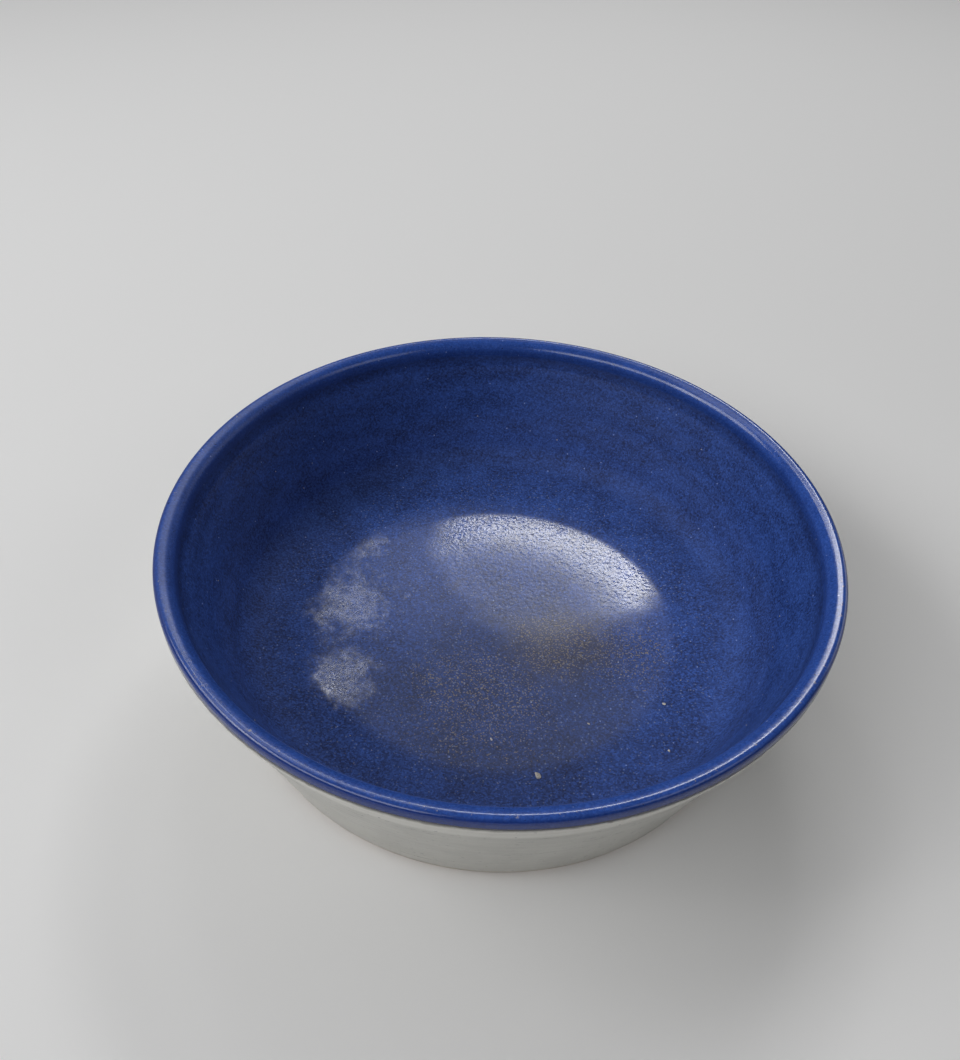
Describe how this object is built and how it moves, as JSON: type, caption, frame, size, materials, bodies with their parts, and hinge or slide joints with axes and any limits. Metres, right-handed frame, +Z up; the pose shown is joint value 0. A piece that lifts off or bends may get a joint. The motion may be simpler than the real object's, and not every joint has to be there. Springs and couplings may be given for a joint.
{
  "type": "butter crock",
  "caption": "Low open stoneware crock with a beaded lip, tapered wall, blue glaze inside and over the lip and white glaze outside.",
  "frame": {"origin": "centre of the foot, on the plane that the crock stands on", "axes": "+Z up along the wheel axis, out of the open mouth; X and Y are level, and -Y is the near side of the view the crock was seen from"},
  "size_m": [0.2, 0.2, 0.061],
  "materials": {
    "clay": "bare fired stoneware, matte and slightly sandy",
    "blue_glaze": "glossy mottled cobalt blue with an orange-peel surface",
    "white_glaze": "satin greyish white with small dark specks",
    "grit": "rough pale fired grains"
  },
  "bodies": {
    "root": {"clay_body": "clay", "blue_glaze": "blue_glaze", "white_glaze": "white_glaze", "kiln_grit": "grit"}
  },
  "joints": []
}
